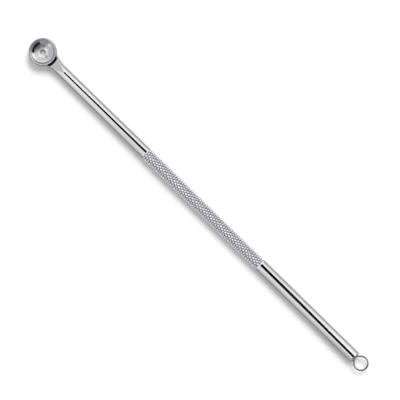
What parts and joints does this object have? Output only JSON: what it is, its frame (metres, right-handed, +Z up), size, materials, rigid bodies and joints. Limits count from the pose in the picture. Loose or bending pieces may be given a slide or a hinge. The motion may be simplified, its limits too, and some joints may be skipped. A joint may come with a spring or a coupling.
{
  "type": "blackhead extractor",
  "caption": "Slim steel skin tool: a shallow drilled spoon at one end, a fine wire loop at the other and a diamond-knurled grip between them.",
  "frame": {"origin": "under the middle of the tool, on the surface that it rests on", "axes": "+X along the bar from the spoon to the wire loop, +Z up out of the open spoon, +Y across"},
  "size_m": [0.14, 0.0084, 0.0038],
  "materials": {
    "handle_steel": "bright polished stainless steel with a rolled diamond knurl",
    "cup_steel": "polished lip, softly polished bowl",
    "wire_steel": "bright drawn spring wire",
    "braze": "silver brazing metal, polished flush"
  },
  "bodies": {
    "root": {"handle": "handle_steel", "spoon_cup": "cup_steel", "spoon_braze": "braze", "wire_loop": "wire_steel", "loop_braze": "braze"}
  },
  "joints": []
}
